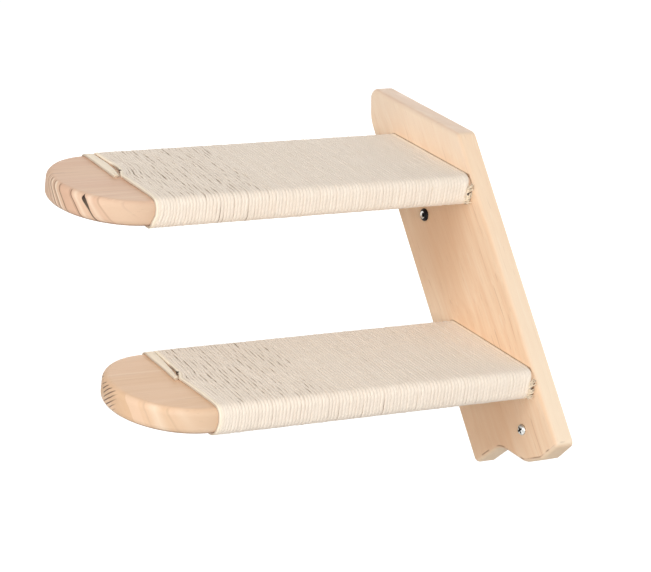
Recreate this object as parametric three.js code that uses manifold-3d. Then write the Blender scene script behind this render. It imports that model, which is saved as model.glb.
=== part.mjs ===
// A pair of cat climbing steps for a wall: two round-nosed pine treads, each wound with sisal cord,
// stand out from one pine plate that leans across the wall. Screws and dowels from behind the plate hold
// the treads, and two screws through the plate hold the whole thing on the wall.
// Millimetres. The origin is the centre of the plate's back face, midway between the two wall screws.
// +Y goes into the wall, the treads reach out along -Y, +X is to the right seen from the room, +Z is up.

import * as THREE from 'three';
import { mergeVertices } from 'three/addons/utils/BufferGeometryUtils.js';
import Module from 'manifold-3d';

const wasm = await Module();
wasm.setup();

// Fits shared by all pieces
const fitGap = 0.3;
const overrun = 5;
const weldDistance = 0.0001;

// Plate: a board of one width that leans to the left going up, seen from the room
const plateThickness = 18;
const plateWidth = 123;
const plateLean = THREE.MathUtils.degToRad(43.2);
const plateEdgeRound = 4;
const plateRise = 43.5;
const plateDrop = 70.5;
const footDrop = 29.5;
const noseDrop = 30.5;
const noseSlant = 6.5;
const noseRound = 9;
const cheekRound = 30;
const shoulderRound = 9;
const toeHeight = 32;
const toeChamferRun = 18.5;
const toeChamferDrop = 20;
const toeSlopeRun = 23;
const toeRound = 5;
const toeTipRound = 8;
const soleRound = 22;
const notchRound = 30;
const footRound = 5;

// Treads: how high or low each one's middle is, and how far right of the plate's middle line
const stepThickness = 22;
const stepWidth = 131;
const stepLength = 375;
const stepNoseLength = 60;
const stepEdgeRound = 6;
const upperStepHeight = 110;
const upperStepOffset = 7.5;
const lowerStepDepth = 24;
const lowerStepOffset = 9.7;
const steps = [
  { name: 'upper', level: upperStepHeight, offset: upperStepOffset },
  { name: 'lower', level: -lowerStepDepth, offset: lowerStepOffset },
];

// Cord: one unbroken winding round each tread. A modelled turn is a flat band that stands for about four
// turns of the real cord laid side by side, so the band is as thick as the cord and several times as wide.
// Wound tight, the cord is pressed flatter than it is wide.
const cordThickness = 2;
const cordTurns = 23;
const cordTurnGap = 0.6;
const cordWrapLength = 310;
const cordPlateGap = 1;
const cordStartInset = 8;
const cordEndHeight = 2;
const cordEdge = 0.9;

// Tacks that pin the cord's two ends
const tackLength = 14;
const tackShankRadius = 0.6;
const tackHeadRadius = 1.3;
const tackHeadThickness = 0.5;
const tackFromCordEnd = 4;

// Countersunk screws from the plate's back into the tread's end grain
const stepScrewLength = 60;
const stepScrewRadius = 2.25;
const stepScrewHeadRadius = 4.5;
const stepScrewTip = 6;
const stepScrewSpread = 45;
const stepScrewCount = 3;
const crossRecessSpan = 4.6;
const crossRecessWidth = 1;
const crossRecessDepth = 1.8;

// Dowels between the plate and the tread
const dowelLength = 38;
const dowelRadius = 4;
const dowelInPlate = 11.5;
const dowelChamfer = 0.8;
const dowelSpread = 45;
const dowelCount = 2;

// Wall screws, through the plate. Their shanks are cut where the wall begins.
const wallScrewLevel = 67;
const wallScrewEdgeDistance = 39.6;
const wallScrewRadius = 2.5;
const wallScrewHeadHeight = 3;
const wallScrewHeadRim = 0.8;
const blackHeadRadius = 5.7;
const silverHeadRadius = 4.9;
const socketRadius = 3;
const socketDepth = 2.2;
const wallScrews = [
  { name: 'upper', side: 1, headRadius: blackHeadRadius, drive: 'hexagon', finish: 'blackSteel' },
  { name: 'lower', side: -1, headRadius: silverHeadRadius, drive: 'cross', finish: 'zincSteel' },
];

// How finely round shapes are cut
const roundSides = 16;
const headSides = 32;
const arcSteps = 3;
const edgeSteps = 2;
const headSteps = 4;
const noseSteps = 12;
const hexagonSides = 6;

const finishes = {
  pine: { color: 0xe6c6a0, roughness: 0.62, metalness: 0 },
  cord: { color: 0xeadfcb, roughness: 0.95, metalness: 0 },
  beech: { color: 0xcfa475, roughness: 0.6, metalness: 0 },
  blackSteel: { color: 0x15130f, roughness: 0.3, metalness: 0.8 },
  zincSteel: { color: 0xb9b9b4, roughness: 0.35, metalness: 1 },
};

const group = new THREE.Group();

function addPiece(name, geometry, finish) {
  const mesh = new THREE.Mesh(geometry, new THREE.MeshStandardMaterial(finishes[finish]));
  mesh.name = name;
  group.add(mesh);
}

// Vertices are welded and slivers that collapsed to a line are dropped, so that the shell closes.
function toSolid(geometry) {
  const bare = geometry.clone();
  bare.deleteAttribute('normal');
  bare.deleteAttribute('uv');
  const welded = mergeVertices(bare, weldDistance);
  const index = welded.index.array;
  const kept = [];
  for (let i = 0; i < index.length; i += 3) {
    const [a, b, c] = [index[i], index[i + 1], index[i + 2]];
    if (a !== b && b !== c && c !== a) kept.push(a, b, c);
  }
  const vertProperties = new Float32Array(welded.attributes.position.array);
  return new wasm.Manifold(new wasm.Mesh({ numProp: 3, vertProperties, triVerts: new Uint32Array(kept) }));
}

function toGeometry(solid) {
  const mesh = solid.getMesh();
  const geometry = new THREE.BufferGeometry();
  geometry.setAttribute('position', new THREE.BufferAttribute(mesh.vertProperties, 3));
  geometry.setIndex(new THREE.BufferAttribute(mesh.triVerts, 1));
  geometry.computeVertexNormals();
  return geometry;
}

// A closed outline through the given corners, each rounded by an arc of its own radius.
function roundedShape(corners) {
  const shape = new THREE.Shape();
  corners.forEach((corner, i) => {
    const before = corners[(i + corners.length - 1) % corners.length];
    const after = corners[(i + 1) % corners.length];
    const toBefore = before.at.clone().sub(corner.at).normalize();
    const toAfter = after.at.clone().sub(corner.at).normalize();
    const halfAngle = Math.acos(toBefore.dot(toAfter)) / 2;
    const inward = toBefore.clone().add(toAfter).setLength(corner.round / Math.sin(halfAngle));
    const centre = corner.at.clone().add(inward);
    const reach = corner.round / Math.tan(halfAngle);
    const start = toBefore.multiplyScalar(reach).sub(inward);
    const end = toAfter.multiplyScalar(reach).sub(inward);
    const clockwise = start.cross(end) < 0;
    shape.absarc(centre.x, centre.y, corner.round, start.angle(), end.angle(), clockwise);
  });
  shape.closePath();
  return shape;
}

// A turned piece: the profile is pairs of radius and place along the axis, from its -Y end to its +Y end.
function turned(profile, sides = roundSides) {
  return new THREE.LatheGeometry(profile.map(([radius, along]) => new THREE.Vector2(radius, along)), sides);
}

function cylinder(radius, from, to, sides = roundSides) {
  return turned([[0, from], [radius, from], [radius, to], [0, to]], sides);
}

function box(low, high) {
  const geometry = new THREE.BoxGeometry(high[0] - low[0], high[1] - low[1], high[2] - low[2]);
  return geometry.translate((low[0] + high[0]) / 2, (low[1] + high[1]) / 2, (low[2] + high[2]) / 2);
}

const cut = (solid, cutters) => cutters.reduce((rest, cutter) => rest.subtract(toSolid(cutter)), solid);

// Places that the pieces share
const plateFront = -plateThickness;
const middleLineX = (level) => -Math.tan(plateLean) * level;
const halfSpan = plateWidth / 2 / Math.cos(plateLean);
const leftEdgeX = (level) => middleLineX(level) - halfSpan;
const rightEdgeX = (level) => middleLineX(level) + halfSpan;
const stepX = (step) => middleLineX(step.level) + step.offset;
const spaced = (count, spread) => Array.from({ length: count }, (_, i) => spread * (i - (count - 1) / 2));
const wallScrewOffset = (plateWidth / 2 - wallScrewEdgeDistance) / Math.cos(plateLean);
const wallScrewPlace = (screw) => {
  const level = screw.side * wallScrewLevel;
  return { x: middleLineX(level) - screw.side * wallScrewOffset, z: level };
};

// Turned profiles of the fasteners, grown all round by a clearance where they cut their holes
const stepScrewProfile = (grow) => [
  [0, -stepScrewLength - grow],
  [grow, -stepScrewLength - grow],
  [stepScrewRadius + grow, -stepScrewLength + stepScrewTip - grow],
  [stepScrewRadius + grow, -(stepScrewHeadRadius - stepScrewRadius) - fitGap],
  [stepScrewHeadRadius + grow, -fitGap + grow],
  [0, -fitGap + grow],
];

const stepScrewHoleProfile = [
  ...stepScrewProfile(fitGap).slice(0, -1),
  [stepScrewHeadRadius + fitGap, overrun],
  [0, overrun],
];

const dowelProfile = (grow) => {
  const nearEnd = plateFront + dowelInPlate + grow;
  const farEnd = plateFront + dowelInPlate - dowelLength - grow;
  return [
    [0, farEnd],
    [dowelRadius - dowelChamfer + grow, farEnd],
    [dowelRadius + grow, farEnd + dowelChamfer],
    [dowelRadius + grow, nearEnd - dowelChamfer],
    [dowelRadius - dowelChamfer + grow, nearEnd],
    [0, nearEnd],
  ];
};

const stepFixings = (step) => {
  const place = (shift) => ({ x: stepX(step) + shift, z: step.level });
  return {
    screws: spaced(stepScrewCount, stepScrewSpread).map(place),
    dowels: spaced(dowelCount, dowelSpread).map(place),
  };
};

const fixingHoles = (step) => {
  const fixings = stepFixings(step);
  return [
    ...fixings.screws.map(({ x, z }) => turned(stepScrewHoleProfile).translate(x, 0, z)),
    ...fixings.dowels.map(({ x, z }) => turned(dowelProfile(fitGap)).translate(x, 0, z)),
  ];
};

// Plate
function plateShape() {
  const top = steps[0].level + plateRise;
  const sole = steps[1].level - plateDrop;
  const foot = sole - footDrop;
  const cheek = top - noseDrop;
  const toe = sole + toeHeight;
  const toeTipX = rightEdgeX(toe) - toeChamferRun;
  const notchX = leftEdgeX(foot) + footDrop / Math.tan(plateLean);
  const corner = (x, z, round) => ({ at: new THREE.Vector2(x, z), round });
  return roundedShape([
    corner(leftEdgeX(cheek) - noseSlant, top, noseRound),
    corner(leftEdgeX(cheek), cheek, cheekRound),
    corner(leftEdgeX(foot), foot, footRound),
    corner(notchX, sole, notchRound),
    corner(toeTipX - toeSlopeRun, sole, soleRound),
    corner(toeTipX, toe - toeChamferDrop, toeTipRound),
    corner(rightEdgeX(toe), toe, toeRound),
    corner(rightEdgeX(top), top, shoulderRound),
  ]);
}

function plate() {
  const blank = new THREE.ExtrudeGeometry(plateShape(), {
    depth: plateThickness,
    bevelThickness: plateEdgeRound,
    bevelSize: plateEdgeRound,
    bevelOffset: -plateEdgeRound,
    bevelSegments: edgeSteps,
    curveSegments: arcSteps,
  });
  blank.translate(0, 0, -plateEdgeRound).rotateX(Math.PI / 2);
  const reach = plateWidth + stepLength;
  const wall = box([-reach, 0, -reach], [reach, reach, reach]);
  const wallScrewHoles = wallScrews.map((screw) => {
    const { x, z } = wallScrewPlace(screw);
    const hole = cylinder(wallScrewRadius + fitGap, plateFront - overrun, overrun);
    return hole.translate(x, 0, z);
  });
  const holes = [...steps.flatMap(fixingHoles), ...wallScrewHoles];
  return toGeometry(cut(toSolid(blank), [wall, ...holes]));
}

addPiece('back_plate', plate(), 'pine');

// Treads
function tread(step) {
  const straight = stepLength - stepNoseLength;
  const outline = new THREE.Shape();
  outline.moveTo(-stepWidth / 2, overrun);
  outline.lineTo(-stepWidth / 2, -straight);
  outline.absellipse(0, -straight, stepWidth / 2, stepNoseLength, Math.PI, 2 * Math.PI, false);
  outline.lineTo(stepWidth / 2, overrun);
  outline.closePath();
  const blank = new THREE.ExtrudeGeometry(outline, {
    depth: stepThickness - 2 * stepEdgeRound,
    bevelThickness: stepEdgeRound,
    bevelSize: stepEdgeRound,
    bevelOffset: -stepEdgeRound,
    bevelSegments: edgeSteps,
    curveSegments: noseSteps,
  });
  blank.translate(stepX(step), plateFront, step.level + stepEdgeRound - stepThickness / 2);
  const reach = plateWidth + stepLength;
  const behind = box([-reach, plateFront, -reach], [reach, reach, reach]);
  const tackHoles = cordTacks(step).map((tack) => tack.shankHole);
  return toGeometry(cut(toSolid(blank), [behind, ...fixingHoles(step), ...tackHoles]));
}

// Cord winding. Going along the cord, its middle runs round a rounded rectangle about the tread while it
// moves steadily towards the plate.
const cordMiddle = fitGap + cordThickness / 2;
const cordHalfWidth = stepWidth / 2 + cordMiddle;
const cordHalfHeight = stepThickness / 2 + cordMiddle;
const cordCornerRadius = stepEdgeRound + cordMiddle;

// The stations of one turn, from the tread's middle on top, over the left edge, underneath and back.
function turnStations() {
  const stations = [{ x: 0, z: cordHalfHeight, angle: Math.PI / 2 }];
  const corners = [[-1, 1], [-1, -1], [1, -1], [1, 1]];
  corners.forEach(([sideX, sideZ], quarter) => {
    for (let i = 0; i <= edgeSteps; i += 1) {
      const angle = Math.PI / 2 * (1 + quarter + i / edgeSteps);
      const x = sideX * (cordHalfWidth - cordCornerRadius) + cordCornerRadius * Math.cos(angle);
      const z = sideZ * (cordHalfHeight - cordCornerRadius) + cordCornerRadius * Math.sin(angle);
      stations.push({ x, z, angle });
    }
    if (quarter === 1) stations.push({ x: 0, z: -cordHalfHeight, angle: Math.PI * 3 / 2 });
  });
  return stations;
}

const gapBetween = (a, b) => Math.hypot(a.x - b.x, a.z - b.z);

// The whole winding: it starts on top near the tread's middle and ends part way up the front edge.
function windingStations() {
  const turn = turnStations();
  const start = { ...turn[0], x: -cordStartInset };
  const end = { x: cordHalfWidth, z: cordEndHeight, angle: 2 * Math.PI };
  const wholeTurns = Array.from({ length: cordTurns - 1 }, () => turn).flat();
  const path = [start, ...turn.slice(1), ...wholeTurns, ...turn.slice(0, -edgeSteps - 1), end];
  let along = 0;
  return path.map((station, i) => {
    if (i > 0) along += gapBetween(station, path[i - 1]);
    return { ...station, along };
  });
}

const windingPath = windingStations();
const windingLength = windingPath[windingPath.length - 1].along;
const turnSteps = turnStations().map((station, i, all) => gapBetween(station, all.at(i - 1)));
const turnLength = turnSteps.reduce((sum, step) => sum + step, 0);
const windingTurns = windingLength / turnLength;
const cordPitch = (cordWrapLength - cordPlateGap + cordTurnGap) / (windingTurns + 1);
const cordBandWidth = cordPitch - cordTurnGap;
const cordFirstY = plateFront - cordWrapLength + cordBandWidth / 2;
const cordY = (station) => cordFirstY + cordPitch * station.along / turnLength;

// The band's section: a flat hexagon, as pairs of a place along +Y and one out from the tread.
const cordSection = [
  [-cordBandWidth / 2, 0],
  [-cordBandWidth / 2 + cordEdge, cordThickness / 2],
  [cordBandWidth / 2 - cordEdge, cordThickness / 2],
  [cordBandWidth / 2, 0],
  [cordBandWidth / 2 - cordEdge, -cordThickness / 2],
  [-cordBandWidth / 2 + cordEdge, -cordThickness / 2],
];

function cordRing(station) {
  return cordSection.map(([acrossY, out]) => new THREE.Vector3(
    station.x + out * Math.cos(station.angle),
    cordY(station) + acrossY,
    station.z + out * Math.sin(station.angle),
  ));
}

// The least distance from the winding to itself, between points of its rings half a turn or more apart.
function leastSelfGap(rings) {
  const apart = Math.floor(turnStations().length / 2);
  let least = Infinity;
  rings.forEach((ring, i) => {
    rings.slice(i + apart, i + 3 * apart).forEach((other) => {
      ring.forEach((point) => other.forEach((far) => { least = Math.min(least, point.distanceTo(far)); }));
    });
  });
  return least;
}

function cordWinding() {
  const rings = windingPath.map(cordRing);
  console.log(`least gap of the cord winding to itself: ${leastSelfGap(rings).toFixed(2)} mm`);
  const sides = cordSection.length;
  const faces = [];
  for (let i = 0; i + 1 < rings.length; i += 1) {
    for (let j = 0; j < sides; j += 1) {
      const [a, b] = [i * sides + j, i * sides + (j + 1) % sides];
      faces.push(a, b, b + sides, a, b + sides, a + sides);
    }
  }
  const last = (rings.length - 1) * sides;
  for (let j = 1; j + 1 < sides; j += 1) {
    faces.push(0, j + 1, j);
    faces.push(last, last + j, last + j + 1);
  }
  const geometry = new THREE.BufferGeometry().setFromPoints(rings.flat());
  geometry.setIndex(faces);
  return geometry;
}

const winding = cordWinding();

// Tacks: one through the cord's start on top, one through its end on the front edge
function tackProfile(grow) {
  return [
    [0, -tackLength - grow],
    [tackShankRadius + grow, -tackLength + tackShankRadius],
    [tackShankRadius + grow, 0],
    [tackHeadRadius, 0],
    [tackHeadRadius, tackHeadThickness / 2],
    [0, tackHeadThickness],
  ];
}

// Each tack goes through the outermost cord of its band, close to the band's edge.
function cordTacks(step) {
  const surface = cordMiddle + cordThickness / 2;
  const fromBandMiddle = cordBandWidth / 2 - cordEdge - tackShankRadius - fitGap;
  const startX = stepX(step) - cordStartInset - tackFromCordEnd;
  const startY = cordFirstY + cordPitch * tackFromCordEnd / turnLength - fromBandMiddle;
  const endY = cordFirstY + cordPitch * (windingLength - tackFromCordEnd) / turnLength + fromBandMiddle;
  const shankHole = () => cylinder(tackShankRadius + fitGap, -tackLength - fitGap, overrun);
  const onTop = (geometry) => geometry.rotateX(Math.PI / 2)
    .translate(startX, startY, step.level + stepThickness / 2 + surface);
  const onFront = (geometry) => geometry.rotateZ(-Math.PI / 2)
    .translate(stepX(step) + stepWidth / 2 + surface, endY, step.level + cordEndHeight - tackFromCordEnd);
  return [
    { name: 'start', tack: onTop(turned(tackProfile(0))), shankHole: onTop(shankHole()) },
    { name: 'end', tack: onFront(turned(tackProfile(0))), shankHole: onFront(shankHole()) },
  ];
}

function cordWrap(step) {
  const geometry = winding.clone().translate(stepX(step), 0, step.level);
  return toGeometry(cut(toSolid(geometry), cordTacks(step).map((tack) => tack.shankHole)));
}

steps.forEach((step) => {
  addPiece(`${step.name}_step_board`, tread(step), 'pine');
  addPiece(`${step.name}_cord_wrap`, cordWrap(step), 'cord');
  cordTacks(step).forEach(({ name, tack }) => {
    addPiece(`${step.name}_cord_tack_${name}`, toGeometry(toSolid(tack)), 'blackSteel');
  });
});

// Screws and dowels of the joints between plate and treads
function stepScrew() {
  const arm = crossRecessSpan / 2;
  const half = crossRecessWidth / 2;
  const floor = -fitGap - crossRecessDepth;
  const slots = [
    box([-arm, floor, -half], [arm, overrun, half]),
    box([-half, floor, -arm], [half, overrun, arm]),
  ];
  return toGeometry(cut(toSolid(turned(stepScrewProfile(0))), slots));
}

steps.forEach((step) => {
  const fixings = stepFixings(step);
  fixings.screws.forEach(({ x, z }, i) => {
    addPiece(`${step.name}_step_screw_${i + 1}`, stepScrew().translate(x, 0, z), 'zincSteel');
  });
  fixings.dowels.forEach(({ x, z }, i) => {
    const dowel = toGeometry(toSolid(turned(dowelProfile(0))));
    addPiece(`${step.name}_dowel_${i + 1}`, dowel.translate(x, 0, z), 'beech');
  });
});

// Wall screws
function wallScrew({ headRadius, drive }) {
  const crown = plateFront - wallScrewHeadHeight;
  const dome = Array.from({ length: headSteps }, (_, i) => {
    const angle = Math.PI / 2 * i / headSteps;
    const rise = (wallScrewHeadHeight - wallScrewHeadRim) * Math.cos(angle);
    return [headRadius * Math.sin(angle), plateFront - wallScrewHeadRim - rise];
  });
  const blank = toSolid(turned([
    ...dome,
    [headRadius, plateFront - wallScrewHeadRim],
    [headRadius, plateFront],
    [wallScrewRadius, plateFront],
    [wallScrewRadius, -fitGap],
    [0, -fitGap],
  ], headSides));
  const recess = drive === 'hexagon'
    ? [cylinder(socketRadius, crown - overrun, crown + socketDepth, hexagonSides)]
    : [0, Math.PI / 2].map((turn) => {
      const arm = crossRecessSpan / 2;
      const half = crossRecessWidth / 2;
      const slot = box([-arm, crown - overrun, -half], [arm, crown + crossRecessDepth, half]);
      return slot.rotateY(turn + Math.PI / 4);
    });
  return toGeometry(cut(blank, recess));
}

wallScrews.forEach((screw) => {
  const { x, z } = wallScrewPlace(screw);
  addPiece(`${screw.name}_wall_screw`, wallScrew(screw).translate(x, 0, z), screw.finish);
});

export default group;
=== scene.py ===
# %% [markdown]
# # Dressing a pair of cat wall steps
# The object is two round-nosed pine treads on one leaning pine plate. Each tread is wound with sisal
# cord for a cat to grip. The solid model is ready, so this script only gives it its looks: finer boards,
# the real cord with every turn, real screw heads, and materials for wood, sisal and steel.
# We load the solid model first, because every new piece has to sit exactly where it says.

# %% Load the solid model
import bpy
import numpy as np
from mathutils import Matrix


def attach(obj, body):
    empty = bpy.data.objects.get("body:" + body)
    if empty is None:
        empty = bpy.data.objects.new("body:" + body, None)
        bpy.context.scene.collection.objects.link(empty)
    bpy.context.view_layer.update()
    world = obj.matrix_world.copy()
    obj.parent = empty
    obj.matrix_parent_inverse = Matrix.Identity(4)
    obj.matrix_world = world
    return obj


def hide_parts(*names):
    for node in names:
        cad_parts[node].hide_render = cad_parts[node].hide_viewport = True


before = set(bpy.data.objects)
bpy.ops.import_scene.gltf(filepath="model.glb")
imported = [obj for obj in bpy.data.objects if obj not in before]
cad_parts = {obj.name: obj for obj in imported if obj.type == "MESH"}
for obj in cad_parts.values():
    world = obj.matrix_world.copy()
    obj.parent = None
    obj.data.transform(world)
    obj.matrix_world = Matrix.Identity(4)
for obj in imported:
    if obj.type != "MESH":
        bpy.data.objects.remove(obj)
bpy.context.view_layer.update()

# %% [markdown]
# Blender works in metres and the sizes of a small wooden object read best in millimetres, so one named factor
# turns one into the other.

MM = 0.001

# %% [markdown]
# ## The camera
# The picture to match is taken from the right and a little above, with the camera tipped about its own
# line of sight. Three angles, a place and the lens say all of that. The long lens keeps the two treads
# nearly parallel. The edges of the treads that face the camera are called the front edges below.

# %% Camera
def add_object(name, data, axes=None, place=None):
    """An object in the scene. Its three axes and its place, where given, are the columns of its pose."""
    made = bpy.data.objects.new(name, data)
    bpy.context.scene.collection.objects.link(made)
    if axes is not None:
        pose = np.eye(4)
        pose[:3, :4] = np.stack([*axes, place], axis=1)
        made.matrix_world = Matrix(pose.tolist())
    return made


azimuth, elevation, roll = np.radians([56.3206, 18.9307, 6.9120])
camera_place = np.array([2.12150, -1.59080, 0.91970])
focal_share = 4.87550  # focal length as a share of the sensor's width

look = np.array([-np.sin(azimuth) * np.cos(elevation), np.cos(azimuth) * np.cos(elevation),
                 -np.sin(elevation)])
level_right = np.array([np.cos(azimuth), np.sin(azimuth), 0.0])
level_up = np.cross(level_right, look)
right = level_right * np.cos(roll) + level_up * np.sin(roll)
up = level_up * np.cos(roll) - level_right * np.sin(roll)

lens = bpy.data.cameras.new("camera")
lens.sensor_width = 36
lens.lens = focal_share * lens.sensor_width
lens.clip_end = 100
bpy.context.scene.camera = add_object("camera", lens, (right, up, -look), camera_place)
bpy.context.scene.view_settings.view_transform = "Standard"
print("lens in mm:", round(lens.lens, 1))

# %% [markdown]
# ## Nodes in few words
# Every material below is made of nodes. A wiring holds one node tree and makes nodes in it: named inputs
# are either plain values or the outputs of other nodes, which it links. Sums and blends come up again and
# again, so each has a short word of its own.

# %% Wiring
class Wiring:
    """A node tree, emptied, with short words to add to it. Any value may be another node's output."""

    def __init__(self, tree):
        self.tree = tree
        tree.nodes.clear()

    def add(self, kind, inputs=None, **settings):
        """One node of a kind, with its settings and its inputs."""
        made = self.tree.nodes.new(kind)
        for name, value in settings.items():
            setattr(made, name, value)
        for key, value in (inputs or {}).items():
            if isinstance(value, bpy.types.NodeSocket):
                self.tree.links.new(value, made.inputs[key])
            else:
                made.inputs[key].default_value = value
        return made

    def math(self, operation, *values):
        """The result of one sum with numbers."""
        return self.add("ShaderNodeMath", dict(enumerate(values)), operation=operation).outputs[0]

    def vector(self, operation, *values, output=0):
        """The result of one sum with places or directions."""
        return self.add("ShaderNodeVectorMath", dict(enumerate(values)), operation=operation).outputs[output]

    def times(self, first, *others):
        """All the numbers multiplied."""
        for other in others:
            first = self.math("MULTIPLY", first, other)
        return first

    def plus(self, first, *others):
        """All the numbers added up."""
        for other in others:
            first = self.math("ADD", first, other)
        return first

    def less(self, value, other):
        """The first number less the second."""
        return self.math("SUBTRACT", value, other)

    def spread(self, value, low, high, to_low=0.0, to_high=1.0, smooth=True):
        """The value carried from one range to another, eased at both ends where smooth."""
        kind = "SMOOTHSTEP" if smooth else "LINEAR"
        keys = {"Value": value, "From Min": low, "From Max": high, "To Min": to_low, "To Max": to_high}
        return self.add("ShaderNodeMapRange", keys, interpolation_type=kind).outputs[0]

    def blend(self, factor, a, b, blend_type="MIX"):
        """Colour a where the factor is 0 and colour b where it is 1."""
        keys = {0: factor, 6: a, 7: b}
        return self.add("ShaderNodeMix", keys, data_type="RGBA", blend_type=blend_type).outputs[2]

    def parts(self, place):
        """The three parts of a place."""
        return self.add("ShaderNodeSeparateXYZ", {0: place}).outputs


print("wiring words:", [word for word in vars(Wiring) if not word.startswith("_")])

# %% [markdown]
# ## Light
# The picture has even, soft light that comes from beside the camera and only a little from above, so the
# faces that look up are darker than those that look sideways, and the plate is in shade below each tread.
# The world gives a soft fill, a little stronger from above. One large lamp stands behind the camera, one
# shines along the treads at the plate, and a weak one behind keeps the back readable. The camera and the
# steel see a plain white world, which is told from the fill by the kind of ray. That keeps the lamps at a
# level at which a colour looks as it is written.

# %% World and lamps
def seen_plainly(w):
    """1 for rays from the camera, a reflection or clear glass, which should see plain white."""
    ray = w.add("ShaderNodeLightPath").outputs
    seen = w.math("MAXIMUM", ray["Is Camera Ray"], ray["Is Glossy Ray"])
    return w.math("MAXIMUM", seen, ray["Is Transmission Ray"])


world = bpy.data.worlds.new("studio")
bpy.context.scene.world = world
world.use_nodes = True
sky = Wiring(world.node_tree)
upward = sky.parts(sky.add("ShaderNodeTexCoord").outputs["Generated"])[2]
strength = sky.spread(upward, 0.0, 1.0, 0.43, 0.60, smooth=False)
fill = sky.add("ShaderNodeBackground", {"Color": (1.0, 0.985, 0.965, 1), "Strength": strength})
white = sky.add("ShaderNodeBackground", {"Color": (1, 1, 1, 1), "Strength": 1.0})
chosen = sky.add("ShaderNodeMixShader", {0: seen_plainly(sky), 1: fill.outputs[0], 2: white.outputs[0]})
sky.add("ShaderNodeOutputWorld", {"Surface": chosen.outputs[0]})

lit_point = np.array([0, -0.15, 0])


def softbox(name, place, size, power, colour):
    """A square lamp at a place that shines at the lit point."""
    lamp = bpy.data.lights.new(name, "AREA")
    lamp.size, lamp.energy, lamp.color = size, power, colour
    back = place - lit_point
    back /= np.linalg.norm(back)
    side = np.cross((0, 0, 1), back)
    side /= np.linalg.norm(side)
    return add_object(name, lamp, (side, np.cross(back, side), back), place)


lamps = [softbox("key_lamp", (3.61, -1.91, 1.18), 2.0, 102, (1.0, 0.985, 0.965)),
         softbox("front_lamp", (0.42, -2.73, 1.0), 1.2, 17, (1.0, 0.98, 0.95)),
         softbox("back_lamp", (-2.4, 1.6, 0.5), 1.6, 24, (1.0, 0.98, 0.96))]
print("lamps:", [lamp.name for lamp in lamps])

# %% [markdown]
# ## Surfaces in few words
# The look of a surface needs more than sums: noise and chance for its pattern, the way it faces, and a
# shader at the end. So a second kind of wiring knows these words as well. Materials use it, and so do the
# groups of nodes that hold a pattern for several materials and give its results by name.

# %% Surfaces
class Surface(Wiring):
    """A wiring that also has words for patterns and for the shader at the end."""

    def noise(self, place, scale, detail=2.0, roughness=0.5):
        """Smooth noise about 0.5 at each place. Three scales in brackets stretch it along each axis."""
        if isinstance(scale, tuple):
            place, scale = self.vector("MULTIPLY", place, scale), 1.0
        keys = {"Vector": place, "Scale": scale, "Detail": detail, "Roughness": roughness}
        return self.add("ShaderNodeTexNoise", keys).outputs["Fac"]

    def chance(self, number):
        """A random number of its own for each number."""
        return self.add("ShaderNodeTexWhiteNoise", {"W": number}, noise_dimensions="1D").outputs["Value"]

    def toward(self, normal, way):
        """How much a surface faces one way: the dot product of its normal with that way."""
        return self.vector("DOT_PRODUCT", normal, way, output="Value")

    def between(self, value, start, low, high, end):
        """1 between low and high, fading to 0 at start and end."""
        return self.times(self.spread(value, start, low), self.spread(value, end, high))

    def give(self, result, found):
        """Each value found goes to the group's result of that name."""
        for label, value in found.items():
            self.tree.links.new(value, result[label])

    def show(self, shader):
        """The finished shader goes to the material's output."""
        self.add("ShaderNodeOutputMaterial", {"Surface": shader.outputs[0]})

    def solid(self, colour, roughness, height, strength, depth, more):
        """A solid surface whose height shows with a strength and a depth in metres, and more sockets."""
        relief = self.add("ShaderNodeBump", {"Height": height, "Strength": strength, "Distance": depth})
        keys = {"Base Color": colour, "Roughness": roughness, "Normal": relief.outputs[0]}
        self.show(self.add("ShaderNodeBsdfPrincipled", keys | more))


def new_material(name):
    """A new material and the wiring of its tree."""
    made = bpy.data.materials.new(name)
    made.use_nodes = True
    return made, Surface(made.node_tree)


print("surface words:", [word for word in vars(Surface) if not word.startswith("_")])

# %% [markdown]
# ## Floor
# The steps hang on a wall, so the floor is half a metre below them and only catches a soft shadow. It is
# seen from above only: from below it lets the camera through, so that the underside can be looked at.

# %% Floor
floor_level, floor_reach = -0.62, 30
corners = [(x * floor_reach, y * floor_reach, floor_level) for x, y in ((-1, -1), (1, -1), (1, 1), (-1, 1))]
floor_mesh = bpy.data.meshes.new("floor")
floor_mesh.from_pydata(corners, [], [(0, 1, 2, 3)])
floor = add_object("floor", floor_mesh)

pale_floor, w = new_material("pale_floor")
grime = w.noise(w.add("ShaderNodeTexCoord").outputs["Object"], 0.6)
tint = w.blend(grime, (0.45, 0.45, 0.445, 1), (0.47, 0.47, 0.47, 1))
matte = w.add("ShaderNodeBsdfPrincipled", {"Base Color": tint, "Roughness": 0.9})
lift = w.add("ShaderNodeEmission", {"Color": (1, 1, 1, 1), "Strength": w.times(seen_plainly(w), 0.74)})
lifted = w.add("ShaderNodeAddShader", {0: matte.outputs[0], 1: lift.outputs[0]})
clear = w.add("ShaderNodeBsdfTransparent")
below = w.add("ShaderNodeNewGeometry").outputs["Backfacing"]
w.show(w.add("ShaderNodeMixShader", {0: below, 1: lifted.outputs[0], 2: clear.outputs[0]}))
floor_mesh.materials.append(pale_floor)
print("floor at z =", floor_level)

# %% [markdown]
# ## Wood grain
# A board is cut from a log, and its grain is the log's yearly rings seen where the saw went through. So the
# grain is a solid pattern: at each place it takes the distance from the log's middle, bends it a little,
# and divides it by the width of a year. Each year has its own tint and ends in a dark line. Along the
# board the same rings run out as long lines and flames, and on the round nose they show as slanting
# stripes, all from one pattern. One group of nodes holds it, and each board gives it its own log.

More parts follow.
